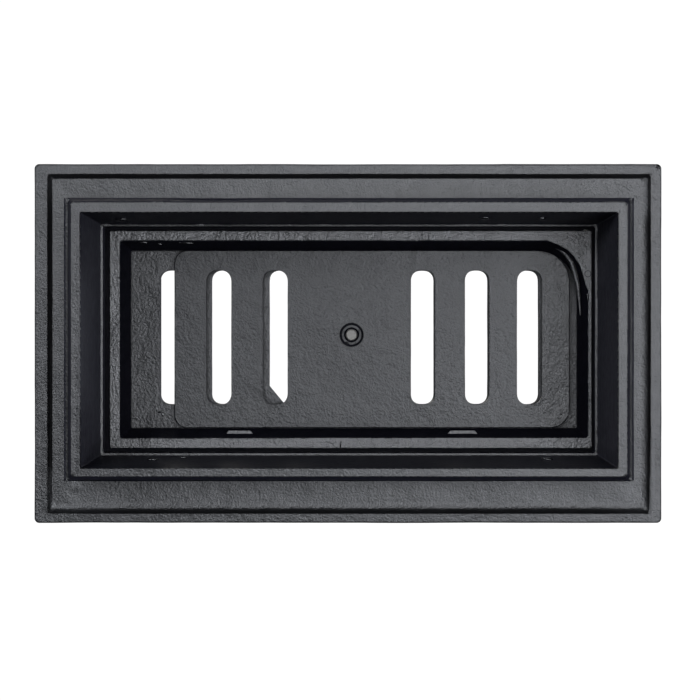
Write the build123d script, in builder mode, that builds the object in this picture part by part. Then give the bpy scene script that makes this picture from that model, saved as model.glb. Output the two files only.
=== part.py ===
"""Cast iron ash pit door with a wall frame, a sliding air damper and a turn latch.

The wall is on the +Y side and the room is on the -Y side, with +Z up. The origin is at the
centre of the collar, on the plane where the back of the frame's rim meets the wall.
All sizes are in millimetres. The door is shut, the damper is open and the latch hangs free.
"""

import os

from build123d import *

# Collar that enters the wall
collar_length = 270.0
collar_height = 135.0
collar_depth = 40.0
collar_draft = 1.0
collar_wall = 4.7
collar_corner = 2.0
shoulder_width = 2.2
shoulder_bevel = 1.0
lip_height = 3.5
lip_draft = 1.5
lip_bevel = 0.4
passage_corner = 0.8
passage_draft = 2.6
passage_drop = 0.45
ledge_width = 1.2

# Flange that covers the edge of the wall opening
flange_margin = 23.0
flange_shift = 0.5
flange_drop = 2.3
flange_corner = 2.5
rim_side_width = 6.4
rim_end_width = 5.3
rim_bevel = 0.7
rim_edge_bevel = 0.3
rim_lean = 0.8
rim_step = 3.0
recess_drop = 2.5
recess_corner = 1.5
cove_width = 1.6
cove_rise = 1.0
plate_thickness = 5.0
edge_thickness = 6.0
bevel_width = 7.0
land_width = 12.0
land_rise = 8.0
land_draft = 1.2
land_corner = 6.0

# Door casting
door_gap = 0.3
door_thickness = 5.0
door_overlap = 6.5
door_corner = 5.0
door_bevel = 1.2
rib_clearance = 1.75
rib_shift = -0.85
rib_lift = 0.1
rib_rise = 5.3
rib_width = 5.4
latch_rib_width = 2.0
pocket_depth = 9.6
pocket_draft = 4.9
pocket_corner = 1.2
rib_bevel = 0.4
filled_corner = 22.0
floor_thickness = 5.0
panel_wall = 5.0

# Vents through the door's floor, measured from the floor's two ends
hinge_side_vents = (20.5, 47.0, 76.9)
latch_side_vents = (25.1, 51.4, 79.3)
vent_width = 11.6
vent_margin = 11.0
vent_lift = 1.05
flash_length = 8.0
flash_height = 9.5
flash_thickness = 2.0

# Lugs cast on the lower wall of the pocket
lug_length = 13.5
lug_spread = 58.6
lug_rise = 4.4
lug_thickness = 2.2
lug_reach = 1.1

# Damper plate that slides behind the door's floor
damper_thickness = 2.4
damper_seat_gap = 0.2
damper_travel = 13.0
damper_end_play = 3.5
damper_far_play = 9.1
damper_side_play = 0.35
damper_chamfer = 1.2
damper_bevel = 0.4
damper_lift = 0.15
damper_corners = (10.0, 6.8, 7.0, 16.5)
slot_offsets = (1.9, 2.8, 0.0, 0.0, -0.8)
bead_radius = 5.1
bead_groove = 1.0
bead_depth = 1.3

# Stud, washer, nut and knob that work the damper
stud_radius = 2.9
stud_shoulder = 3.3
stud_offset = 1.25
stud_lift = 2.35
stud_proud = 0.4
stud_slot_play = 0.4
stop_play = 0.5
fit_play = 0.05
washer_radius = 9.0
washer_thickness = 1.6
nut_across_flats = 10.0
nut_thickness = 5.0
knob_radius = 10.0
knob_neck = 5.0
knob_head = 9.0
knob_edge = 1.8
knob_length = 24.0
knob_bore_depth = 12.0

# Hinges
hinge_standoff = 7.5
hinge_inset = 26.0
knuckle_radius = 6.0
knuckle_clear = 1.0
knuckle_height = 16.0
knuckle_end_gap = 0.4
frame_lug_height = 7.0
gusset_width = 7.0
strap_overlap = 4.0
pin_radius = 3.0
pin_head_radius = 5.0
pin_head_height = 2.6
pin_tail = 2.0

# Latch
latch_inset = 10.0
boss_radius = 8.5
boss_proud = 1.4
latch_washer_radius = 7.0
latch_washer_thickness = 1.0
lever_thickness = 5.0
lever_gap = 0.3
lever_hub_radius = 8.0
handle_length = 54.0
handle_end_radius = 4.5
grip_radius = 6.0
grip_length = 13.0
lever_chamfer = 0.8
nose_width = 9.0
nose_clear = 2.3
nose_web = 4.7
nose_reach = 10.5
nose_set_back = 8.3
screw_shoulder = 3.5
screw_thread = 2.5
screw_hole_depth = 11.0
screw_head_radius = 6.2
screw_head_height = 3.6

# Keeper on the frame that the latch's nose turns under
keeper_lip = 4.6
keeper_gap = 0.5
keeper_post = 4.0
keeper_height = 13.0
keeper_lead_in = 1.5

# Places worked out from the sizes above
base_sink = 1.0
collar_size = (collar_length, collar_height)
flange_size = (collar_length + 2 * flange_margin, collar_height + 2 * flange_margin)
flange_centre = (flange_shift, -flange_drop)
recess_size = (flange_size[0] - 2 * rim_side_width, flange_size[1] - 2 * rim_end_width)
recess_centre = (0, -recess_drop)
shoulder_y = collar_depth - lip_height
recess_y = -rim_step
flange_front = recess_y - plate_thickness
land_y = flange_front - land_rise

mouth_inset = lip_draft + collar_wall
ledge_inset = mouth_inset + passage_draft
opening_length = collar_length - 2 * (ledge_inset + ledge_width)
opening_height = collar_height - 2 * (ledge_inset + ledge_width)
opening_size = (opening_length, opening_height)
opening_centre = (0, -passage_drop)

door_back = land_y - door_gap
door_front = door_back - door_thickness
door_edge_x = opening_length / 2 + door_overlap
door_half_height = opening_height / 2 + door_overlap
door_top_z = door_half_height - passage_drop
rib_back = door_back + rib_rise
rib_length = opening_length - 2 * rib_clearance
rib_height = opening_height - 2 * rib_clearance
floor_back = rib_back - pocket_depth
floor_front = floor_back - floor_thickness

pocket_low_x = rib_shift - rib_length / 2 + latch_rib_width
pocket_high_x = rib_shift + rib_length / 2 - rib_width
rib_mid_z = rib_lift - passage_drop
pocket_low_z = rib_mid_z - rib_height / 2 + rib_width
pocket_high_z = rib_mid_z + rib_height / 2 - rib_width
floor_low_x = pocket_low_x + pocket_draft
floor_high_x = pocket_high_x - pocket_draft
floor_low_z = pocket_low_z + pocket_draft
floor_high_z = pocket_high_z - pocket_draft
floor_mid_x = (floor_low_x + floor_high_x) / 2
floor_mid_z = (floor_low_z + floor_high_z) / 2

vent_places = [floor_high_x - place for place in hinge_side_vents]
vent_places += [floor_low_x + place for place in reversed(latch_side_vents)]
vent_mid_z = floor_mid_z + vent_lift
vent_height = floor_high_z - floor_low_z - 2 * vent_margin

damper_front = floor_back + damper_seat_gap
damper_back = damper_front + damper_thickness
damper_low_x = floor_low_x + damper_end_play
damper_high_x = floor_high_x - damper_travel - damper_far_play
pocket_slope = pocket_draft / pocket_depth
damper_wall_inset = pocket_slope * (damper_seat_gap + damper_chamfer)
damper_half_height = (floor_high_z - floor_low_z) / 2 + damper_wall_inset - damper_side_play
damper_mid_z = floor_mid_z + damper_lift
stud_x = floor_mid_x + stud_offset
stud_z = floor_mid_z + stud_lift
shoulder_end = floor_front - lever_gap
washer_front = shoulder_end - washer_thickness
nut_front = washer_front - nut_thickness
knob_front = nut_front - knob_length

hinge_x = door_edge_x + hinge_standoff
hinge_y = land_y - knuckle_clear - knuckle_radius
hinge_places = (door_top_z - hinge_inset, door_top_z - 2 * door_half_height + hinge_inset)
lug_step = knuckle_height / 2 + knuckle_end_gap

latch_x = -door_edge_x + latch_inset
latch_z = door_top_z - latch_inset
boss_front = floor_front - boss_proud
latch_washer_front = boss_front - latch_washer_thickness
lever_back = latch_washer_front - lever_gap
lever_front = lever_back - lever_thickness
screw_seat = lever_front - lever_gap
nose_start = latch_inset * 2**0.5 + nose_clear - door_corner * (2**0.5 - 1)
nose_end = nose_start + nose_web + nose_reach
nose_back = lever_back + nose_set_back
nose_front = nose_back - lever_thickness
keeper_back = nose_front - keeper_gap
keeper_front = keeper_back - keeper_lip
keeper_inner_x = latch_x - nose_start - nose_web - 3 * keeper_gap
keeper_post_x = latch_x - nose_end - keeper_gap


def rounded_sheet(y, size, radius, centre, grow=0.0):
    """Rounded rectangle that stands upright at the given y, larger by grow on every side."""
    with BuildSketch(Plane.XZ.offset(-y)) as sheet:
        with Locations(centre):
            RectangleRounded(size[0] + 2 * grow, size[1] + 2 * grow, radius)
    return sheet.sketch


def stepped(size, radius, centre, steps):
    """Rounded rectangles one behind the other, from (y, grow) steps, to loft a block through."""
    return [rounded_sheet(y, size, radius, centre, grow) for y, grow in steps]


def cornered_sheet(y, low_x, high_x, low_z, high_z, radii):
    """Upright rectangle with its own radius at each corner, from low left round to high left."""
    with BuildSketch(Plane.XZ.offset(-y)) as sheet:
        with BuildLine():
            FilletPolyline(
                (low_x, low_z),
                (high_x, low_z),
                (high_x, high_z),
                (low_x, high_z),
                radius=radii,
                close=True,
            )
        make_face()
    return sheet.sketch


def pocket_sheet(y, wall=0.0):
    """Outline of the door's pocket at the given y, or of the wall round it."""
    inset = pocket_slope * (rib_back - y) - wall
    small = pocket_corner + wall
    return cornered_sheet(
        y,
        pocket_low_x + inset,
        pocket_high_x - inset,
        pocket_low_z + inset,
        pocket_high_z - inset,
        (small, small, small, filled_corner + wall),
    )


def hinge_lug(low_z, height, base_y, inner_x, outer_x):
    """Knuckle round the hinge line, with a foot that runs back to the casting that carries it."""
    with BuildSketch(Plane.XY.offset(low_z)) as lug:
        with Locations((hinge_x, hinge_y)):
            Circle(knuckle_radius)
        with BuildLine():
            Polyline(
                (inner_x, base_y),
                (inner_x, hinge_y),
                (hinge_x + knuckle_radius, hinge_y),
                (outer_x, base_y),
                close=True,
            )
        make_face()
    return extrude(lug.sketch, amount=height, mode=Mode.PRIVATE)


# Frame: flange, rim, collar, land round the opening, hinge lugs and keeper
with BuildPart() as frame:
    flange_steps = [
        (flange_front, -bevel_width),
        (-edge_thickness, 0),
        (-rim_bevel, 0),
        (0, -rim_bevel),
    ]
    loft(stepped(flange_size, flange_corner, flange_centre, flange_steps), ruled=True)
    land_steps = [(flange_front, land_width + land_draft), (land_y, land_width)]
    loft(stepped(opening_size, land_corner, opening_centre, land_steps), ruled=True)

    recess_steps = [
        (0, rim_edge_bevel),
        (-rim_edge_bevel, 0),
        (recess_y + cove_rise, -rim_lean),
        (recess_y, -rim_lean - cove_width),
    ]
    recess = stepped(recess_size, recess_corner, recess_centre, recess_steps)
    loft(recess, ruled=True, mode=Mode.SUBTRACT)

    body_steps = [
        (recess_y - base_sink, shoulder_width + collar_draft),
        (shoulder_y - shoulder_bevel, shoulder_width),
        (shoulder_y, shoulder_width - shoulder_bevel),
    ]
    loft(stepped(collar_size, collar_corner, (0, 0), body_steps), ruled=True)
    lip_steps = [
        (shoulder_y - base_sink, 0),
        (shoulder_y, 0),
        (collar_depth - lip_bevel, -lip_draft),
        (collar_depth, -lip_draft - lip_bevel),
    ]
    loft(stepped(collar_size, collar_corner, (0, 0), lip_steps), ruled=True)

    passage_steps = [(collar_depth, -mouth_inset), (flange_front, -ledge_inset)]
    passage = stepped(collar_size, passage_corner, opening_centre, passage_steps)
    loft(passage, ruled=True, mode=Mode.SUBTRACT)
    opening = rounded_sheet(flange_front, opening_size, passage_corner, opening_centre)
    extrude(opening, amount=land_rise, mode=Mode.SUBTRACT)

    for place in hinge_places:
        for low_z in (place + lug_step, place - lug_step - frame_lug_height):
            add(
                hinge_lug(
                    low_z,
                    frame_lug_height,
                    flange_front + base_sink,
                    hinge_x - knuckle_radius,
                    hinge_x + knuckle_radius + gusset_width,
                )
            )
    with Locations((hinge_x, hinge_y, 0)):
        Hole(pin_radius + fit_play)

    with BuildSketch(Plane.XY.offset(latch_z - keeper_height / 2)):
        with Locations((keeper_post_x, flange_front + base_sink)):
            Rectangle(
                keeper_post,
                flange_front + base_sink - keeper_front,
                align=(Align.MAX, Align.MAX),
            )
        with Locations((keeper_post_x - keeper_post, keeper_back)):
            Rectangle(
                keeper_inner_x - keeper_post_x + keeper_post,
                keeper_lip,
                align=(Align.MIN, Align.MAX),
            )
    extrude(amount=keeper_height)
    lip_edges = frame.edges().filter_by(Axis.X).filter_by_position(
        Axis.Y, keeper_back - fit_play, keeper_back + fit_play
    )
    chamfer(lip_edges, keeper_lead_in)
frame.part.label = "frame"

# Door: flange, rib, dished pocket, front panel, vents, hinge knuckles and latch boss
with BuildPart() as door:
    slab = rounded_sheet(door_back, opening_size, door_corner, opening_centre, door_overlap)
    extrude(slab, amount=door_thickness)
    chamfer(door.faces().sort_by(Axis.Y)[0].edges(), door_bevel)
    rib = rounded_sheet(
        rib_back, (rib_length, rib_height), pocket_corner, (rib_shift, rib_mid_z)
    )
    extrude(rib, amount=rib_rise + base_sink)
    chamfer(door.faces().sort_by(Axis.Y)[-1].edges(), rib_bevel)
    panel_sections = [
        pocket_sheet(door_front + base_sink, panel_wall),
        pocket_sheet(floor_front, panel_wall),
    ]
    loft(panel_sections, ruled=True)
    with BuildSketch(Plane.XZ.offset(-door_front - base_sink)):
        with Locations((latch_x, latch_z)):
            Circle(boss_radius)
    extrude(amount=door_front + base_sink - boss_front)
    pocket_sections = [
        pocket_sheet(rib_back, rib_bevel),
        pocket_sheet(rib_back - rib_bevel),
        pocket_sheet(floor_back),
    ]
    loft(pocket_sections, ruled=True, mode=Mode.SUBTRACT)

    with BuildSketch(Plane.XZ.offset(-floor_back)):
        with Locations(*[(x, vent_mid_z) for x in vent_places]):
            SlotOverall(vent_height, vent_width, rotation=90)
        with Locations((stud_x + damper_travel / 2, stud_z)):
            SlotOverall(
                damper_travel + 2 * (stud_shoulder + stop_play),
                2 * (stud_shoulder + stud_slot_play),
            )
    extrude(amount=floor_thickness, mode=Mode.SUBTRACT)

    flash_x = vent_places[2] + vent_width / 2
    flash_z = vent_mid_z - vent_height / 2
    with BuildSketch(Plane.XZ.offset(-floor_back)):
        with BuildLine():
            Polyline(
                (flash_x, flash_z + flash_height),
                (flash_x, flash_z),
                (flash_x - flash_length, flash_z),
                close=True,
            )
        make_face()
    extrude(amount=flash_thickness)

    wall_z = floor_low_z - pocket_slope * lug_rise
    with BuildSketch(Plane.XZ.offset(-floor_back - lug_rise)):
        with Locations(
            (floor_mid_x + stud_offset - lug_spread, wall_z),
            (floor_mid_x + stud_offset + lug_spread, wall_z),
        ):
            Trapezoid(lug_length, 2 * lug_reach, 60)
    extrude(amount=-lug_thickness)

    for place in hinge_places:
        add(
            hinge_lug(
                place - knuckle_height / 2,
                knuckle_height,
                door_back - knuckle_clear,
                door_edge_x - strap_overlap,
                hinge_x + knuckle_radius / 2,
            )
        )
    with Locations((hinge_x, hinge_y, 0)):
        Hole(pin_radius + fit_play)
    with Locations(Plane.XZ.offset(-boss_front)):
        with Locations((latch_x, latch_z)):
            Hole(screw_thread + fit_play, depth=screw_hole_depth)
door.part.label = "door"

# Damper plate: five slots and a round bead about the stud
with BuildPart() as damper_plate:
    plate = cornered_sheet(
        damper_front,
        damper_low_x,
        damper_high_x,
        damper_mid_z - damper_half_height,
        damper_mid_z + damper_half_height,
        damper_corners,
    )
    extrude(plate, amount=-damper_thickness)
    chamfer(damper_plate.faces().sort_by(Axis.Y)[0].edges(), damper_chamfer)
    chamfer(damper_plate.faces().sort_by(Axis.Y)[-1].edges(), damper_bevel)
    slot_places = [x + offset for x, offset in zip(vent_places[1:], slot_offsets)]
    with BuildSketch(Plane.XZ.offset(-damper_back)):
        with Locations(*[(x, vent_mid_z) for x in slot_places]):
            SlotOverall(vent_height, vent_width + 1, rotation=90)
    extrude(amount=damper_thickness, mode=Mode.SUBTRACT)
    with BuildSketch(Plane.XZ.offset(-damper_back)):
        with Locations((stud_x, stud_z)):
            Circle(bead_radius + bead_groove)
            Circle(bead_radius, mode=Mode.SUBTRACT)
            Circle(bead_radius - bead_groove * 4 / 3)
    extrude(amount=bead_depth, mode=Mode.SUBTRACT)
    with Locations(Plane.XZ.offset(-damper_back)):
        with Locations((stud_x, stud_z)):
            Hole(stud_radius + fit_play)
damper_plate.part.label = "damper_plate"


def turned(profile, axis_x, axis_z):
    """Solid turned about a line along Y, from a closed profile of (radius, y) points."""
    with BuildPart() as solid:
        with BuildSketch(Plane((axis_x, 0, axis_z), (1, 0, 0), (0, 0, 1))):
            with BuildLine():
                Polyline(*profile, close=True)
            make_face()
        revolve(axis=Axis((axis_x, 0, axis_z), (0, 1, 0)))
    return solid.part


# Stud: riveted end, shoulder through the door's slot and a threaded end for the knob
with BuildPart() as damper_stud:
    thread_end = nut_front - knob_bore_depth + stud_proud
    add(
        turned(
            [
                (0, damper_back + stud_proud),
                (stud_radius - stud_proud, damper_back + stud_proud),
                (stud_radius, damper_back),
                (stud_radius, damper_front),
                (stud_shoulder, damper_front),
                (stud_shoulder, shoulder_end),
                (stud_radius, shoulder_end),
                (stud_radius, thread_end),
                (0, thread_end),
            ],
            stud_x,
            stud_z,
        )
    )
damper_stud.part.label = "damper_stud"

# Washer that keeps the plate against the floor
with BuildPart() as damper_washer:
    with BuildSketch(Plane.XZ.offset(-shoulder_end)):
        with Locations((stud_x, stud_z)):
            Circle(washer_radius)
            Circle(stud_radius + fit_play, mode=Mode.SUBTRACT)
    extrude(amount=washer_thickness)
damper_washer.part.label = "damper_washer"

# Hexagon nut
with BuildPart() as damper_nut:
    with BuildSketch(Plane.XZ.offset(-washer_front)):
        with Locations((stud_x, stud_z)):
            RegularPolygon(nut_across_flats / 2, 6, major_radius=False)
            Circle(stud_radius + fit_play, mode=Mode.SUBTRACT)
    extrude(amount=nut_thickness)
damper_nut.part.label = "damper_nut"

# Knob, turned with a neck and a bevelled head
with BuildPart() as damper_knob:
    head_back = knob_front + knob_head
    add(
        turned(
            [
                (0, nut_front),
                (knob_neck, nut_front),
                (knob_neck, head_back),
                (knob_radius - knob_edge, head_back),
                (knob_radius, head_back - knob_edge),
                (knob_radius, knob_front + knob_edge),
                (knob_radius - knob_edge, knob_front),
                (0, knob_front),
            ],
            stud_x,
            stud_z,
        )
    )
    with BuildSketch(Plane.XZ.offset(-nut_front)):
        with Locations((stud_x, stud_z)):
            Circle(stud_radius + fit_play)
    extrude(amount=knob_bore_depth, mode=Mode.SUBTRACT)
damper_knob.part.label = "damper_knob"


def hinge_pin(place):
    """Pin with a flat head, dropped through the frame's two lugs and the door's knuckle."""
    head_z = place + lug_step + frame_lug_height
    tail_z = place - lug_step - frame_lug_height - pin_tail
    with BuildPart() as pin:
        with BuildSketch(Plane.XZ.offset(-hinge_y)):
            with BuildLine():
                Polyline(
                    (hinge_x, tail_z),
                    (hinge_x + pin_radius, tail_z),
                    (hinge_x + pin_radius, head_z),
                    (hinge_x + pin_head_radius, head_z),
                    (hinge_x + pin_head_radius, head_z + pin_head_height),
                    (hinge_x, head_z + pin_head_height),
                    close=True,
                )
            make_face()
        revolve(axis=Axis((hinge_x, hinge_y, 0), (0, 0, 1)))
    return pin.part


with BuildPart() as upper_hinge_pin:
    add(hinge_pin(hinge_places[0]))
upper_hinge_pin.part.label = "upper_hinge_pin"

with BuildPart() as lower_hinge_pin:
    add(hinge_pin(hinge_places[1]))
lower_hinge_pin.part.label = "lower_hinge_pin"

# Latch washer between the boss and the lever
with BuildPart() as latch_washer:
    with BuildSketch(Plane.XZ.offset(-boss_front)):
        with Locations((latch_x, latch_z)):
            Circle(latch_washer_radius)
            Circle(screw_thread + fit_play, mode=Mode.SUBTRACT)
    extrude(amount=latch_washer_thickness)
latch_washer.part.label = "latch_washer"

# Shoulder screw that the lever turns on
with BuildPart() as latch_screw:
    thread_tip = boss_front + screw_hole_depth - stop_play
    head_front = screw_seat - screw_head_height
    add(
        turned(
            [
                (0, thread_tip),
                (screw_thread, thread_tip),
                (screw_thread, latch_washer_front),
                (screw_shoulder, latch_washer_front),
                (screw_shoulder, screw_seat),
                (screw_head_radius, screw_seat),
                (screw_head_radius, head_front),
                (0, head_front),
            ],
            latch_x,
            latch_z,
        )
    )
latch_screw.part.label = "latch_screw"

# Latch lever: hub, hanging handle with a grip, and a nose set back to reach under the keeper
with BuildPart() as latch_lever:
    with BuildSketch(Plane.XZ.offset(-lever_back)):
        with Locations((latch_x, latch_z)):
            Circle(lever_hub_radius)
        with Locations((latch_x, latch_z - handle_length)):
            Circle(handle_end_radius)
        make_hull()
        with Locations((latch_x, latch_z)):
            Rectangle(
                nose_width, nose_start + nose_web, align=(Align.CENTER, Align.MIN)
            )
    extrude(amount=lever_thickness)
    chamfer(latch_lever.faces().sort_by(Axis.Y)[0].edges(), lever_chamfer)
    with BuildSketch(Plane.XZ.offset(-nose_back)):
        with Locations((latch_x, latch_z + nose_start)):
            Rectangle(nose_width, nose_web, align=(Align.CENTER, Align.MIN))
    extrude(amount=nose_back - lever_back)
    with BuildSketch(Plane.XZ.offset(-nose_back)):
        with Locations((latch_x, latch_z + nose_start)):
            Rectangle(
                nose_width, nose_web + nose_reach, align=(Align.CENTER, Align.MIN)
            )
    extrude(amount=lever_thickness)
    with BuildSketch(Plane.XZ.offset(-lever_front)):
        with Locations((latch_x, latch_z - handle_length)):
            Circle(grip_radius)
    extrude(amount=grip_length, taper=6)
    with Locations(Plane.XZ.offset(-lever_front)):
        with Locations((latch_x, latch_z)):
            Hole(screw_shoulder + fit_play)
latch_lever.part.label = "latch_lever"

os.makedirs("parts", exist_ok=True)
export_step(frame.part, "parts/frame.step")
export_step(door.part, "parts/door.step")
export_step(damper_plate.part, "parts/damper_plate.step")
export_step(damper_stud.part, "parts/damper_stud.step")
export_step(damper_washer.part, "parts/damper_washer.step")
export_step(damper_nut.part, "parts/damper_nut.step")
export_step(damper_knob.part, "parts/damper_knob.step")
export_step(upper_hinge_pin.part, "parts/upper_hinge_pin.step")
export_step(lower_hinge_pin.part, "parts/lower_hinge_pin.step")
export_step(latch_washer.part, "parts/latch_washer.step")
export_step(latch_screw.part, "parts/latch_screw.step")
export_step(latch_lever.part, "parts/latch_lever.step")
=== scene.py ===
import math

import bmesh
import bpy
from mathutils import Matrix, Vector, noise


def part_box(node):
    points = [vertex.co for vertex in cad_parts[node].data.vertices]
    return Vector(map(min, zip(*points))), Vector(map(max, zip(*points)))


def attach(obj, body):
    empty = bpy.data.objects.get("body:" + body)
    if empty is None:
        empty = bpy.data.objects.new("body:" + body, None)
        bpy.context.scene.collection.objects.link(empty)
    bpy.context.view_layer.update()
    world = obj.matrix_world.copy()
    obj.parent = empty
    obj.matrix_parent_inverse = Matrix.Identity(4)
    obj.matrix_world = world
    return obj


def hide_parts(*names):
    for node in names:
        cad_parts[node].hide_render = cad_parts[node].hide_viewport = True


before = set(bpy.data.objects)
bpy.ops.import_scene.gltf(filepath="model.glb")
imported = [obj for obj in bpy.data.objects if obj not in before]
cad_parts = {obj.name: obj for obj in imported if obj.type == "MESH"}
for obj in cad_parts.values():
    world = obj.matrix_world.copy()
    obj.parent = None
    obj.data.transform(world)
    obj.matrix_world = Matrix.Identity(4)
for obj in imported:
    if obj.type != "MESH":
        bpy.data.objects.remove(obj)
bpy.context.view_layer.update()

# Camera: it looks along -Y at the side of the door that goes into the wall, level with the
# collar, so that +X lies to the left. The picture is a little off the lens's axis.
picture_pixels = 700
focal_pixels = 1589.5
sensor_width = 36.0
camera_distance = 0.8
camera_height = 0.0045
shift_right_pixels = 1.0
shift_down_pixels = 20.0

camera_data = bpy.data.cameras.new("camera")
camera_data.sensor_width = sensor_width
camera_data.lens = focal_pixels * sensor_width / picture_pixels
camera_data.shift_x = shift_right_pixels / picture_pixels
camera_data.shift_y = -shift_down_pixels / picture_pixels
camera_data.clip_start = 0.01
camera = bpy.data.objects.new("camera", camera_data)
camera.location = (0, camera_distance, camera_height)
camera.rotation_euler = (math.radians(90), 0, math.radians(180))
bpy.context.scene.collection.objects.link(camera)
bpy.context.scene.camera = camera
bpy.context.scene.view_settings.view_transform = "Standard"


# Studio: a white room that only the camera sees as white, a pale paper floor, and soft boxes
# that light the paint from the wall side, from both ends, from above and from the room side.
def linear(hex_colour):
    """Linear colour with alpha from an sRGB hex string such as 8a8c90."""
    parts = [int(hex_colour[i:i + 2], 16) / 255 for i in (0, 2, 4)]
    return [p / 12.92 if p <= 0.04045 else ((p + 0.055) / 1.055) ** 2.4 for p in parts] + [1.0]


def add_node(tree, kind, settings=None, **links):
    """Adds a node, sets its properties and sockets by name, and links the sockets given."""
    node = tree.nodes.new(kind)
    for name, value in (settings or {}).items():
        if name in node.inputs:
            node.inputs[name].default_value = value
        else:
            setattr(node, name, value)
    for name, source in links.items():
        tree.links.new(source, node.inputs[name])
    return node


white_strength = 1.05
dim_strength = 0.05
world = bpy.data.worlds.new("white_room")
world.use_nodes = True
room = world.node_tree
room.nodes.clear()
white_to_camera = add_node(
    room, "ShaderNodeBackground", {"Color": (1, 1, 1, 1), "Strength": white_strength}
)
dim_to_object = add_node(
    room, "ShaderNodeBackground", {"Color": linear("e8f0ff"), "Strength": dim_strength}
)
ray_kind = add_node(room, "ShaderNodeLightPath")
room_mix = add_node(room, "ShaderNodeMixShader")
room.links.new(ray_kind.outputs["Is Camera Ray"], room_mix.inputs[0])
room.links.new(dim_to_object.outputs[0], room_mix.inputs[1])
room.links.new(white_to_camera.outputs[0], room_mix.inputs[2])
add_node(room, "ShaderNodeOutputWorld", Surface=room_mix.outputs[0])
bpy.context.scene.world = world

# Each soft box's place and side in metres, its watts and its tint. All of them face the door.
soft_boxes = {
    "key_middle": ((0.0, 1.6, 0.1), 0.55, 3.3, "f6f9ff"),
    "key_top": ((0.0, 1.6, 0.65), 0.55, 2.0, "f6f9ff"),
    "key_right": ((-0.55, 1.6, 0.1), 0.55, 3.2, "f6f9ff"),
    "key_low": ((0.0, 1.6, -0.45), 0.55, 0.7, "f6f9ff"),
    "side_right": ((-1.1, 1.6, -0.38), 0.55, 6.6, "f2f6ff"),
    "side_left": ((1.1, 1.6, 0.65), 0.55, 6.6, "f2f6ff"),
    "hinge_side": ((1.8, -0.4, 0.35), 1.0, 4.5, "f6f9ff"),
    "latch_side": ((-1.8, -0.4, 0.35), 1.0, 4.5, "f6f9ff"),
    "overhead": ((0.0, -0.4, 1.8), 1.0, 4.5, "f6f9ff"),
    "room_key": ((0.8, -1.4, 0.9), 1.2, 16.0, "fffaf5"),
    "room_fill": ((-0.9, -1.5, 0.2), 1.2, 9.0, "eef3ff"),
}
for box_name, (place, side, watts, tint) in soft_boxes.items():
    box_data = bpy.data.lights.new(box_name, "AREA")
    box_data.shape = "SQUARE"
    box_data.size = side
    box_data.energy = watts
    box_data.color = linear(tint)[:3]
    soft_box = bpy.data.objects.new(box_name, box_data)
    soft_box.location = place
    soft_box.rotation_euler = Vector(place).to_track_quat("Z", "Y").to_euler()
    soft_box.visible_camera = False
    bpy.context.scene.collection.objects.link(soft_box)

floor_height = -0.36
floor_radius = 0.75
floor_glow = 0.75
floor_mesh = bpy.data.meshes.new("floor")
floor_form = bmesh.new()
bmesh.ops.create_circle(floor_form, cap_ends=True, segments=96, radius=floor_radius)
bmesh.ops.translate(floor_form, verts=floor_form.verts, vec=(0, 0, floor_height))
floor_form.to_mesh(floor_mesh)
floor_form.free()
floor = bpy.data.objects.new("floor", floor_mesh)
bpy.context.scene.collection.objects.link(floor)
# Pale paper: matt and nearly white, and it glows a little so that it melts into the room.
pale_paper = bpy.data.materials.new("pale_paper")
pale_paper.use_nodes = True
paper_shader = pale_paper.node_tree.nodes["Principled BSDF"]
paper_shader.inputs["Base Color"].default_value = linear("f4f4f4")
paper_shader.inputs["Roughness"].default_value = 0.9
paper_shader.inputs["Emission Color"].default_value = (1, 1, 1, 1)
paper_shader.inputs["Emission Strength"].default_value = floor_glow
floor_mesh.materials.append(pale_paper)
floor.visible_glossy = False
floor.visible_diffuse = False


# Frame: one grey iron casting from a sand mould, with a collar that goes into the wall. The
# mould leaves its faces a little sunk and its edges a little wavy, never proud of the pattern.
def add_piece(name, mesh, body):
    """Object at the origin for a finished mesh, which moves with the body given."""
    piece = bpy.data.objects.new(name, mesh)
    bpy.context.scene.collection.objects.link(piece)
    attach(piece, body)
    return piece


def cast_copy(node_name, body, grid, sink, wave, seed, dress, paint_of):
    """Copy of a CAD node in metres: dressed, cut on a grid, sunk unevenly and painted by face."""
    merge_reach = 1e-6
    flat_degrees = 0.3
    sharp_degrees = 14
    small_waves = 4
    mean_sink, broad_sink, small_sink = 0.5, 0.4, 0.2
    form = bmesh.new()
    form.from_mesh(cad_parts[node_name].data)
    bmesh.ops.remove_doubles(form, verts=form.verts, dist=merge_reach)
    bmesh.ops.dissolve_limit(
        form, angle_limit=math.radians(flat_degrees), verts=form.verts, edges=form.edges
    )
    dress(form)
    low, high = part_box(node_name)
    for axis in range(3):
        cut_normal = Vector([float(axis == i) for i in range(3)])
        cut_count = int((high[axis] - low[axis]) / grid)
        for cut in range(1, cut_count + 1):
            cut_place = cut_normal * (low[axis] + cut * (high[axis] - low[axis]) / (cut_count + 1))
            everything = form.verts[:] + form.edges[:] + form.faces[:]
            bmesh.ops.bisect_plane(form, geom=everything, plane_co=cut_place, plane_no=cut_normal)
    bmesh.ops.triangulate(form, faces=form.faces)
    form.normal_update()
    offset = Vector((seed, 2 * seed, 3 * seed))
    for vertex in form.verts:
        broad = noise.noise(vertex.co / wave + offset)
        small = noise.noise(vertex.co * small_waves / wave + offset)
        vertex.co -= vertex.normal * sink * (mean_sink + broad_sink * broad + small_sink * small)
    for face in form.faces:
        face.material_index = paint_of(face)
    mesh = bpy.data.meshes.new(node_name + "_cast")
    form.to_mesh(mesh)
    form.free()
    mesh.shade_smooth()
    mesh.set_sharp_from_angle(angle=math.radians(sharp_degrees))
    piece = add_piece(node_name + "_cast", mesh, body)
    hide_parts(node_name)
    return piece


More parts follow.
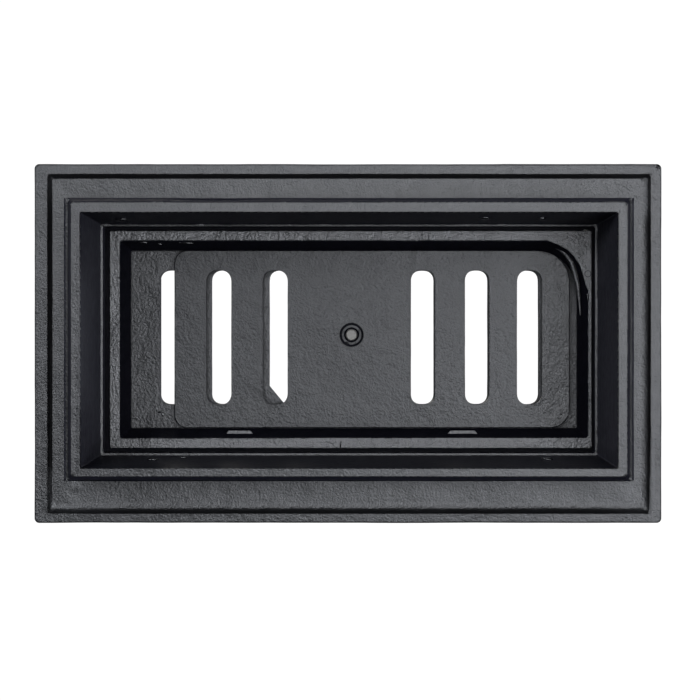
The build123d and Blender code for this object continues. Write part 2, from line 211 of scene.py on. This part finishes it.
def painted_iron(
    name, low_hex, high_hex, grain_mm, grain_depth_mm, roughness, ior, edge_mm,
    rub=(0, 0, 0), soot_reach=0.33, hollow_mm=6.0,
):
    """Satin black stove paint over sand-cast iron, dulled by soot in hollows of about hollow_mm.

    Moulding sand is about 0.3 mm, too fine to show, so its grain is drawn over 1 mm wide, with
    pits 4 grains and swells 22 grains across. rub is how much rougher the paint grows in a metre
    along X, Y and Z.
    """
    pit_mm = grain_mm * 4
    swell_mm = grain_mm * 22
    pit_depth = grain_depth_mm * 1.2 / 1000
    swell_depth = grain_depth_mm * 4 / 1000
    gloss_change = 0.06
    soot_full = 0.25
    material = bpy.data.materials.new(name)
    material.use_nodes = True
    tree = material.node_tree
    shader = tree.nodes["Principled BSDF"]
    place = add_node(tree, "ShaderNodeTexCoord").outputs["Object"]
    grain = add_node(
        tree, "ShaderNodeTexNoise",
        {"Scale": 1000 / grain_mm, "Detail": 4.0, "Roughness": 0.6}, Vector=place,
    )
    pits = add_node(
        tree, "ShaderNodeTexNoise",
        {"Scale": 1000 / pit_mm, "Detail": 3.0, "Roughness": 0.5}, Vector=place,
    )
    swell = add_node(
        tree, "ShaderNodeTexNoise",
        {"Scale": 1000 / swell_mm, "Detail": 2.0, "Roughness": 0.5}, Vector=place,
    )
    tone = add_node(tree, "ShaderNodeValToRGB", {}, Fac=swell.outputs["Fac"])
    tone.color_ramp.elements[0].position = 0.3
    tone.color_ramp.elements[0].color = linear(low_hex)
    tone.color_ramp.elements[1].position = 0.7
    tone.color_ramp.elements[1].color = linear(high_hex)
    tree.links.new(tone.outputs["Color"], shader.inputs["Base Color"])
    hollow = add_node(
        tree, "ShaderNodeAmbientOcclusion", {"samples": 8, "Distance": hollow_mm / 1000}
    )
    dull_hollow = add_node(
        tree, "ShaderNodeMapRange",
        {"From Min": soot_full, "From Max": soot_reach, "To Min": 1.0, "To Max": roughness},
        Value=hollow.outputs["AO"],
    )
    gloss = add_node(
        tree, "ShaderNodeMapRange", {"To Min": -gloss_change, "To Max": gloss_change},
        Value=pits.outputs["Fac"],
    )
    uneven = add_node(tree, "ShaderNodeMath", {"operation": "ADD", "use_clamp": True})
    tree.links.new(dull_hollow.outputs["Result"], uneven.inputs[0])
    tree.links.new(gloss.outputs["Result"], uneven.inputs[1])
    rubbed = add_node(tree, "ShaderNodeVectorMath", {"operation": "DOT_PRODUCT"})
    tree.links.new(place, rubbed.inputs[0])
    rubbed.inputs[1].default_value = rub
    satin = add_node(tree, "ShaderNodeMath", {"operation": "ADD", "use_clamp": True})
    tree.links.new(uneven.outputs[0], satin.inputs[0])
    tree.links.new(rubbed.outputs["Value"], satin.inputs[1])
    tree.links.new(satin.outputs[0], shader.inputs["Roughness"])
    worn_edge = add_node(tree, "ShaderNodeBevel", {"samples": 6, "Radius": edge_mm / 1000})
    broad = add_node(
        tree, "ShaderNodeBump", {"Distance": swell_depth},
        Height=swell.outputs["Fac"], Normal=worn_edge.outputs["Normal"],
    )
    coarse = add_node(
        tree, "ShaderNodeBump", {"Distance": pit_depth},
        Height=pits.outputs["Fac"], Normal=broad.outputs["Normal"],
    )
    fine = add_node(
        tree, "ShaderNodeBump", {"Distance": grain_depth_mm / 1000},
        Height=grain.outputs["Fac"], Normal=coarse.outputs["Normal"],
    )
    tree.links.new(fine.outputs["Normal"], shader.inputs["Normal"])
    shader.inputs["IOR"].default_value = ior
    return material


def painted_shade_material(name, low_hex, high_hex):
    """Painted shade for walls and hollows where shade falls: matt, cloudy and almost without shine.
    """
    cloud_mm = 4.0
    crust_depth = 0.0003
    material = bpy.data.materials.new(name)
    material.use_nodes = True
    tree = material.node_tree
    shader = tree.nodes["Principled BSDF"]
    place = add_node(tree, "ShaderNodeTexCoord").outputs["Object"]
    clouds = add_node(
        tree, "ShaderNodeTexNoise", {"Scale": 1000 / cloud_mm, "Detail": 4.0}, Vector=place
    )
    tone = add_node(tree, "ShaderNodeValToRGB", {}, Fac=clouds.outputs["Fac"])
    tone.color_ramp.elements[0].color = linear(low_hex)
    tone.color_ramp.elements[1].color = linear(high_hex)
    tree.links.new(tone.outputs["Color"], shader.inputs["Base Color"])
    crust = add_node(
        tree, "ShaderNodeBump", {"Distance": crust_depth}, Height=clouds.outputs["Fac"]
    )
    tree.links.new(crust.outputs["Normal"], shader.inputs["Normal"])
    shader.inputs["Roughness"].default_value = 0.5
    shader.inputs["Specular IOR Level"].default_value = 0.08
    return material


# Paint on the frame: an even satin black with a fine grain, and edges that catch the light.
sand_cast_paint = painted_iron(
    "sand_cast_iron_black_paint", "08080a", "0d0d10",
    grain_mm=1.1, grain_depth_mm=0.24, roughness=0.40, ior=2.1, edge_mm=0.5, hollow_mm=4.0,
)
# Painted shade: flat darks painted where shade falls, on the collar's walls, the pocket and beside
# the lip.
dark_painted_shade = painted_shade_material("dark_painted_shade_on_collar_walls", "1c1c24", "30303a")
# Lighter painted shade for the passage's sides, which catch more light than its floor and roof.
light_painted_shade = painted_shade_material("light_painted_shade_on_side_walls", "303038", "50505a")
# Darkest painted shade for the gap round the rib, the pocket, the vents, the plate's grooves and
# edge.
black_painted_shade = painted_shade_material("black_painted_shade_in_pocket", "0a0a10", "1a1a22")

# How far the normals of a wall, a bevel and a flat face lean toward Y, and a side wall's to X.
wall_lean = 0.5
bevel_lean = 0.75
flat_lean = 0.9
side_lean = 0.7
# Reaches in metres of the passage and of the collar's lip: half across, and low to high along Y.
passage_half_length = 0.1315
passage_half_height = 0.0640
passage_low, passage_high = -0.0165, 0.0385
lip_half_length = 0.1325
lip_half_height = 0.0655
lip_low, lip_high = 0.0300, 0.0396


def frame_paint(face):
    """0 for paint, 1 for painted shade on the lip's outside, the passage's floor and roof, 2,
    lighter, on its sides.
    """
    middle = face.calc_center_median()
    outside = abs(middle.x) > lip_half_length or abs(middle.z) > lip_half_height
    if outside and lip_low < middle.y < lip_high and face.normal.y < bevel_lean:
        return 1
    inside = abs(middle.x) < passage_half_length and abs(middle.z) < passage_half_height
    if not inside or not passage_low < middle.y < passage_high or abs(face.normal.y) > wall_lean:
        return 0
    return 2 if abs(face.normal.x) > side_lean else 1


# Planes and edges of the frame in millimetres, and then how far the casting's edges lie from the
# solid's, in metres or in metres for each millimetre across.
recess_mm = -3.0
shoulder_mm = 36.5
collar_end_mm = 40.0
near_mm = 0.5
plane_mm = 0.1
rim_round_mm = 0.6
rim_start_mm = 0.2
left_rim_mm = 152.1
low_rim_mm = -87.5
body_half_height_mm = 68.5
body_half_length_mm = 140
recess_left_mm = 130
recess_edge_mm = 151
recess_half_height_mm = 85
left_ramp_mm = 147
top_ramp_mm = 77
ramp_mm = 3
lip_side_mm = 131
passage_side_mm = 120
lean_per_mm = 0.00005
left_widening = 0.00025
top_widening = 0.0002
shoulder_drop = 0.0015
shoulder_rise = 0.0013
end_sink = 0.0002


def dress_frame(form):
    """Leans rim, recess and collar's end a little, steepens the recess and thins the shoulder."""
    for vertex in form.verts:
        x, y, z = vertex.co * 1000
        past_rim = max(x - left_rim_mm, low_rim_mm - z)
        if y > -rim_round_mm and past_rim > rim_start_mm:
            vertex.co.y -= lean_per_mm * past_rim
        on_body = recess_mm - near_mm < y < shoulder_mm + near_mm and abs(x) < body_half_length_mm
        if on_body and z > body_half_height_mm:
            vertex.co.z -= shoulder_drop
        if on_body and z < -body_half_height_mm:
            vertex.co.z += shoulder_rise
        if abs(y - recess_mm) < plane_mm:
            if x > recess_left_mm and abs(z) < recess_half_height_mm:
                vertex.co.y -= lean_per_mm * max(0, recess_edge_mm - x)
            vertex.co.x += left_widening * min(max(x - left_ramp_mm, 0), ramp_mm)
            vertex.co.z += top_widening * min(max(z - top_ramp_mm, 0), ramp_mm)
        on_side = x > lip_side_mm or -lip_side_mm < x < -passage_side_mm
        if y > collar_end_mm - near_mm and on_side:
            vertex.co.y -= end_sink


frame_cast = cast_copy(
    "frame", "frame", 0.0035, 0.00035, 0.035, 1.7, dress_frame, frame_paint
)
for paint in (sand_cast_paint, dark_painted_shade, light_painted_shade):
    frame_cast.data.materials.append(paint)

# Door: the second iron casting, from the same sand and under the same paint. Its rib, its
# dished pocket and the six vents through its floor face the wall.
vent_mid_z = 0.0007
vent_height = 0.0689
door_vents = (0.0916, 0.0651, 0.0352, -0.0379, -0.0658, -0.0921)
door_vent_width = 0.0116


def round_end(form, centre, side, radius):
    """Cuts one coarse end of a vent finer and sets it on a slightly flattened arc."""
    squareness = 2.5
    arc_cuts = 3
    near = 0.0001

    def across(vertex):
        return Vector((vertex.co.x - centre.x, 0, (vertex.co.z - centre.z) * side))

    def on_arc(vertex):
        away = across(vertex)
        return abs(away.length - radius) < near and away.z > -near

    arc_edges = [
        edge for edge in form.edges
        if on_arc(edge.verts[0]) and on_arc(edge.verts[1])
        and abs(edge.verts[0].co.y - edge.verts[1].co.y) < near / 10
    ]
    cut = bmesh.ops.subdivide_edges(form, edges=arc_edges, cuts=arc_cuts)
    fresh = {part for part in cut["geom_split"] if isinstance(part, bmesh.types.BMVert)}
    for vertex in fresh | {v for edge in arc_edges if edge.is_valid for v in edge.verts}:
        away = across(vertex).normalized()
        size = (abs(away.x) ** squareness + abs(away.z) ** squareness) ** (1 / squareness)
        vertex.co.x = centre.x + away.x * radius / size
        vertex.co.z = centre.z + side * away.z * radius / size


def round_vents(form, places, width):
    """Rounds both ends of upright vents at the places given."""
    reach = (vent_height - width) / 2
    for x in places:
        for side in (1, -1):
            round_end(form, Vector((x, 0, vent_mid_z + side * reach)), side, width / 2)


# Lugs in millimetres: where the solid has them, where the casting has them, and how much wider.
lug_moves = ((57.3, 56.2, 1.04), (-59.9, -58.2, 1.15))
lug_half_mm = 7
lug_low_mm = -49.4
lug_tip_mm = -46.8
lug_middle_mm = -48
lug_back_mm = -16.3
lug_face_mm = -13.9
lug_front_mm = -14.1
thin_lug_y = -0.015
thin_lug_foot = -0.04866
# Right side of the rib's top in millimetres, and how much it drops.
rib_top_mm = -11.1
rib_side_mm = (-121.5, -116.5)
rib_end_mm = 55.0
rib_side_drop = 0.00035


def dress_door(form):
    """Rounds the six vents' ends, thins the two lugs and leans the rib's right side."""
    for vertex in form.verts:
        x, y, z = vertex.co * 1000
        on_lug = lug_back_mm < y < lug_face_mm and lug_low_mm < z < lug_tip_mm
        for lug_mm, moved_mm, widening in lug_moves:
            if on_lug and abs(x - lug_mm) < lug_half_mm:
                vertex.co.x = (moved_mm + (x - lug_mm) * widening) / 1000
                if y > lug_front_mm:
                    vertex.co.y = thin_lug_y
                    vertex.co.z = thin_lug_foot if z < lug_middle_mm else vertex.co.z
        if y > rib_top_mm and rib_side_mm[0] < x < rib_side_mm[1] and abs(z) < rib_end_mm:
            vertex.co.y -= rib_side_drop
    round_vents(form, door_vents, door_vent_width)


# Reaches of the door in metres: rib and vents, half across, and planes from low to high along Y.
rib_half_length = 0.1225
rib_half_height = 0.052
gap_low, gap_high = -0.0168, -0.0130
pocket_low, pocket_high = -0.0202, -0.0114
floor_low = -0.0212
vent_low, vent_high = -0.0256, -0.0207
vents_half_length = 0.1
vents_half_height = 0.037
slope_lean = 0.6


def door_paint(face):
    """1 for painted shade in the gap round the rib, on pocket and vent walls, 2 for the floor, else
    0.
    """
    middle = face.calc_center_median()
    past_rib = abs(middle.z) > rib_half_height or abs(middle.x) > rib_half_length
    if gap_low < middle.y < gap_high and face.normal.y > flat_lean and past_rib:
        return 1
    if pocket_low < middle.y < pocket_high and face.normal.y < slope_lean:
        return 1
    if floor_low < middle.y < pocket_low and face.normal.y > flat_lean:
        return 2
    on_wall = vent_low < middle.y < vent_high and abs(face.normal.y) < wall_lean
    in_vents = abs(middle.z) < vents_half_height and abs(middle.x) < vents_half_length
    return int(on_wall and in_vents)


# Paint on the pocket's floor: duller and pitted, so the light breaks up on it.
pitted_paint = painted_iron(
    "pitted_iron_black_paint", "070709", "0b0b0e",
    grain_mm=1.4, grain_depth_mm=0.52, roughness=0.45, ior=2.1, edge_mm=0.5, soot_reach=0.75,
)
# Paint on the rib: rubbed by the frame's edge, so it is the brightest and shows the sand most.
rib_paint = painted_iron(
    "rubbed_iron_black_paint", "08080a", "0d0d10",
    grain_mm=1.2, grain_depth_mm=0.46, roughness=0.39, ior=2.6, edge_mm=0.5,
)
door_cast = cast_copy(
    "door", "door", 0.003, 0.0004, 0.025, 4.2, dress_door, door_paint
)
for paint in (rib_paint, black_painted_shade, pitted_paint):
    door_cast.data.materials.append(paint)


# Pips on both castings: small beads that ran into hollows of the sand and drips of paint. They
# are the castings' own iron under the same paint and catch the light on the dark walls.
def pip_group():
    """Node tree that sets a flattened bead on every point, by its own size and turn."""
    group = bpy.data.node_groups.new("cast_pips", "GeometryNodeTree")
    group.interface.new_socket("Points", in_out="INPUT", socket_type="NodeSocketGeometry")
    group.interface.new_socket("Paint", in_out="INPUT", socket_type="NodeSocketMaterial")
    group.interface.new_socket("Fineness", in_out="INPUT", socket_type="NodeSocketInt")
    group.interface.new_socket("Tilt", in_out="INPUT", socket_type="NodeSocketFloat")
    group.interface.new_socket("Seed", in_out="INPUT", socket_type="NodeSocketInt")
    group.interface.new_socket("Pips", in_out="OUTPUT", socket_type="NodeSocketGeometry")
    given = group.nodes.new("NodeGroupInput").outputs
    bead = add_node(
        group, "GeometryNodeMeshIcoSphere", {"Radius": 1.0}, Subdivisions=given["Fineness"]
    )
    size = add_node(
        group, "GeometryNodeInputNamedAttribute", {"data_type": "FLOAT_VECTOR", "Name": "size"}
    )
    turn = add_node(
        group, "FunctionNodeRandomValue", {"data_type": "FLOAT_VECTOR"}, Seed=given["Seed"]
    )
    turn.inputs["Min"].default_value = (-1, -1, -1)
    turn.inputs["Max"].default_value = (1, 1, 1)
    tilt = add_node(group, "ShaderNodeVectorMath", {"operation": "SCALE"}, Scale=given["Tilt"])
    group.links.new(turn.outputs["Value"], tilt.inputs[0])
    placed = add_node(
        group, "GeometryNodeInstanceOnPoints", {}, Points=given["Points"],
        Instance=bead.outputs["Mesh"], Rotation=tilt.outputs["Vector"],
        Scale=size.outputs["Attribute"],
    )
    real = add_node(group, "GeometryNodeRealizeInstances", {}, Geometry=placed.outputs["Instances"])
    smooth = add_node(group, "GeometryNodeSetShadeSmooth", {}, Geometry=real.outputs["Geometry"])
    painted = add_node(
        group, "GeometryNodeSetMaterial", {},
        Geometry=smooth.outputs["Geometry"], Material=given["Paint"],
    )
    result = group.nodes.new("NodeGroupOutput")
    group.links.new(painted.outputs["Geometry"], result.inputs["Pips"])
    return group


def grown_mesh(name, points, tree, inputs):
    """Plain mesh that a node tree grows on a mesh of points, with its inputs given by name."""
    carrier = bpy.data.objects.new(name + "_points", points)
    bpy.context.scene.collection.objects.link(carrier)
    modifier = carrier.modifiers.new(name, "NODES")
    modifier.node_group = tree
    for item in tree.interface.items_tree:
        if item.name in inputs:
            modifier[item.identifier] = inputs[item.name]
    bpy.context.view_layer.update()
    shown = carrier.evaluated_get(bpy.context.evaluated_depsgraph_get())
    mesh = bpy.data.meshes.new_from_object(shown)
    carrier.modifiers.remove(modifier)
    bpy.data.objects.remove(carrier)
    mesh.name = name
    return mesh


def cast_pips(name, body, seed, pips):
    """Beads on a casting from rows of place and half size in millimetres."""
    points = bpy.data.meshes.new(name + "_points")
    points.from_pydata([[value / 1000 for value in place] for place, size in pips], [], [])
    sizes = points.attributes.new("size", "FLOAT_VECTOR", "POINT")
    for row, (place, size) in zip(sizes.data, pips):
        row.vector = [value / 1000 for value in size]
    inputs = {"Paint": glossy_pip, "Fineness": 3, "Tilt": 0.15, "Seed": seed}
    add_piece(name, grown_mesh(name, points, pips_tree, inputs), body)


pips_tree = pip_group()
# Paint on the pips: it ran thick and glossy there, so each has a small sharp highlight.
glossy_pip = painted_iron(
    "glossy_black_paint_on_pips", "08080a", "0d0d10",
    grain_mm=1.3, grain_depth_mm=0.02, roughness=0.16, ior=2.3, edge_mm=0.2,
)
cast_pips("frame_pips", "frame", 5, [
    ((112.8, 13.6, 59.4), (3.2, 1.8, 0.9)), ((-66.5, 17.5, 59.7), (3.0, 1.7, 0.9)),
    ((-94.9, 17.5, 59.7), (2.2, 1.5, 0.8)), ((97.8, 8.1, -60.0), (3.0, 1.7, 0.8)),
    ((83.1, 0.3, -59.6), (2.0, 1.3, 0.6)), ((-98.9, 6.2, -59.9), (3.2, 1.7, 0.8)),
])
cast_pips("door_pips", "door", 9, [
    ((105.5, -12.6, 49.3), (2.6, 0.8, 0.6)), ((96.8, -13.9, 48.6), (1.2, 0.7, 0.6)),
    ((83.4, -13.0, 49.1), (4.2, 0.7, 0.6)), ((4.3, -11.2, -54.0), (0.45, 0.5, 2.0)),
    ((97.6, -20.8, -37.9), (1.6, 0.36, 0.5)), ((99.2, -20.8, -36.4), (0.5, 0.36, 1.7)),
    ((96.2, -20.8, -39.2), (0.6, 0.36, 1.2)), ((-121.8, -11.4, 21.0), (0.4, 0.5, 2.6)),
])


# Filled corner of the door: the sand crumbled there, so the casting has a run of iron along the
# curved wall, the round mark of a nail and, at the rib's edge, a crescent of flash.
def run_group():
    """Node tree that turns a line of points into a rod as thick as each point says."""
    group = bpy.data.node_groups.new("iron_run", "GeometryNodeTree")
    group.interface.new_socket("Path", in_out="INPUT", socket_type="NodeSocketGeometry")
    group.interface.new_socket("Paint", in_out="INPUT", socket_type="NodeSocketMaterial")
    group.interface.new_socket("Sides", in_out="INPUT", socket_type="NodeSocketInt")
    group.interface.new_socket("Run", in_out="OUTPUT", socket_type="NodeSocketGeometry")
    given = group.nodes.new("NodeGroupInput").outputs
    line = add_node(group, "GeometryNodeMeshToCurve", {}, Mesh=given["Path"])
    thickness = add_node(
        group, "GeometryNodeInputNamedAttribute", {"data_type": "FLOAT", "Name": "thickness"}
    )
    profile = add_node(
        group, "GeometryNodeCurvePrimitiveCircle", {"Radius": 1.0}, Resolution=given["Sides"]
    )
    swept = add_node(
        group, "GeometryNodeCurveToMesh", {"Fill Caps": True},
        Curve=line.outputs["Curve"], Scale=thickness.outputs["Attribute"],
    )
    group.links.new(profile.outputs["Curve"], swept.inputs["Profile Curve"])
    real = add_node(group, "GeometryNodeRealizeInstances", {}, Geometry=swept.outputs["Mesh"])
    smooth = add_node(group, "GeometryNodeSetShadeSmooth", {}, Geometry=real.outputs["Geometry"])
    painted = add_node(
        group, "GeometryNodeSetMaterial", {},
        Geometry=smooth.outputs["Geometry"], Material=given["Paint"],
    )
    result = group.nodes.new("NodeGroupOutput")
    group.links.new(painted.outputs["Geometry"], result.inputs["Run"])
    return group


def iron_run(name, paint, points):
    """Rod on the door from rows of place and thickness in millimetres."""
    path = bpy.data.meshes.new(name + "_path")
    steps = [(i, i + 1) for i in range(len(points) - 1)]
    path.from_pydata([[value / 1000 for value in place] for place, thick in points], steps, [])
    thicknesses = path.attributes.new("thickness", "FLOAT", "POINT")
    for row, (place, thick) in zip(thicknesses.data, points):
        row.value = thick / 2000
    rod = grown_mesh(name, path, run_tree, {"Paint": paint, "Sides": 12})
    add_piece(name, rod, "door")


run_tree = run_group()
run_y = -16.1
iron_run("corner_run", rib_paint, [
    ((-99.0, run_y, 48.3), 0.8), ((-104.6, run_y, 47.4), 1.3), ((-107.9, run_y, 46.0), 1.7),
    ((-111.3, run_y, 43.2), 2.3), ((-113.9, run_y, 39.6), 2.8), ((-115.9, run_y, 34.2), 2.9),
    ((-117.3, run_y, 28.1), 2.4), ((-118.2, run_y, 19.9), 1.4), ((-118.8, run_y, 12.0), 0.7),
])

# The nail's mark: a thin ring drawn in the darkest painted shade, as a dark line where shade falls.
ring_x, ring_y, ring_z = -121.9, -11.15, 33.2
ring_radius = 1.6
ring_thickness = 0.3
ring_turns = [turn / 8 * math.pi for turn in range(17)]
ring_places = [
    (ring_x + ring_radius * math.cos(turn), ring_y, ring_z + ring_radius * math.sin(turn))
    for turn in ring_turns
]
iron_run("nail_ring", black_painted_shade, [(place, ring_thickness) for place in ring_places])

flash_top_y = -0.0112
flash_depth = 0.0015
flash_inner = [
    (-101.4, 50.0), (-106.6, 48.1), (-111.6, 45.4), (-115.0, 42.0), (-117.9, 37.4),
    (-119.6, 32.0), (-120.9, 27.5), (-122.1, 24.6),
]
corner_centre = (-100.1, 28.0)
corner_reach = 22.8
corner_steps = 10
flash_outer = [
    (corner_centre[0] - corner_reach * math.cos(step / corner_steps * math.pi / 2),
     corner_centre[1] + corner_reach * math.sin(step / corner_steps * math.pi / 2))
    for step in range(corner_steps + 1)
]
flash_form = bmesh.new()
flash_rim = [
    flash_form.verts.new((x / 1000, flash_top_y, z / 1000)) for x, z in flash_inner + flash_outer
]
flash_face = flash_form.faces.new(flash_rim)
flash_sides = bmesh.ops.extrude_face_region(flash_form, geom=[flash_face])
flash_low = [part for part in flash_sides["geom"] if isinstance(part, bmesh.types.BMVert)]
bmesh.ops.translate(flash_form, verts=flash_low, vec=(0, -flash_depth, 0))
bmesh.ops.triangulate(flash_form, faces=flash_form.faces)
bmesh.ops.recalc_face_normals(flash_form, faces=flash_form.faces)
flash_mesh = bpy.data.meshes.new("corner_flash")
flash_form.to_mesh(flash_mesh)
flash_form.free()
flash_mesh.materials.append(rib_paint)
add_piece("corner_flash", flash_mesh, "door")

# Damper plate: a thinner casting from finer sand, so its face is smoother than the door's. It
# slides on the pocket's floor, held by its stud. The lever and the knob are painted like it.
plate_slots = (0.0670, 0.0380, -0.0379, -0.0658, -0.0929)
plate_slot_width = 0.0126
plate_face_y = -0.0195
bead_x, bead_z = -0.0013, 0.0020
bead_reach = 0.0064
bead_low, bead_high = -0.0200, -0.0184
edge_lean_low, edge_lean_high = 0.15, 0.93


def dress_plate(form):
    """Rounds the ends of the plate's five slots."""
    round_vents(form, plate_slots, plate_slot_width)


def plate_paint(face):
    """1, painted shade, for the grooves round the stud and the bevelled edge, 0, paint, for the
    rest.
    """
    middle = face.calc_center_median()
    if middle.y > plate_face_y and edge_lean_low < face.normal.y < edge_lean_high:
        return 1
    in_bead = math.hypot(middle.x - bead_x, middle.z - bead_z) < bead_reach
    return int(in_bead and bead_low < middle.y < bead_high and face.normal.y > -wall_lean)


# Paint on the small castings: the smoothest, and duller toward the plate's top at the hinges.
fine_cast_paint = painted_iron(
    "fine_cast_iron_black_paint", "08080a", "0e0e11",
    grain_mm=1.1, grain_depth_mm=0.38, roughness=0.40, ior=1.95, edge_mm=0.4, rub=(0.8, 0, 0.7),
)
plate_cast = cast_copy(
    "damper_plate", "damper", 0.003, 0.0003, 0.03, 6.1, dress_plate, plate_paint
)
for paint in (fine_cast_paint, black_painted_shade):
    plate_cast.data.materials.append(paint)
for node_name in ("latch_lever", "damper_knob"):
    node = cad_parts[node_name]
    node.data.materials.clear()
    node.data.materials.append(fine_cast_paint)

# Steel pieces: the riveted stud, its washer and nut, the hinge pins and the latch's screw and
# washer, all turned or stamped from bar and sheet, and blackened by heat.
mottle_mm = 10 / 9
scale_depth = 0.00004
# Blackened steel: a dull metal that is a little lighter and sharper than the paint round it.
steel = bpy.data.materials.new("blackened_steel")
steel.use_nodes = True
steel_tree = steel.node_tree
steel_shader = steel_tree.nodes["Principled BSDF"]
steel_place = add_node(steel_tree, "ShaderNodeTexCoord").outputs["Object"]
steel_mottle = add_node(
    steel_tree, "ShaderNodeTexNoise", {"Scale": 1000 / mottle_mm, "Detail": 3.0}, Vector=steel_place
)
steel_tone = add_node(steel_tree, "ShaderNodeValToRGB", {}, Fac=steel_mottle.outputs["Fac"])
steel_tone.color_ramp.elements[0].color = linear("6c6a66")
steel_tone.color_ramp.elements[1].color = linear("8a8883")
steel_tree.links.new(steel_tone.outputs["Color"], steel_shader.inputs["Base Color"])
steel_shader.inputs["Metallic"].default_value = 0.6
steel_shader.inputs["Roughness"].default_value = 0.42
steel_bump = add_node(
    steel_tree, "ShaderNodeBump", {"Distance": scale_depth}, Height=steel_mottle.outputs["Fac"]
)
steel_tree.links.new(steel_bump.outputs["Normal"], steel_shader.inputs["Normal"])
for node_name in (
    "damper_stud", "damper_washer", "damper_nut", "upper_hinge_pin", "lower_hinge_pin",
    "latch_washer", "latch_screw",
):
    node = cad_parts[node_name]
    node.data.materials.clear()
    node.data.materials.append(steel)
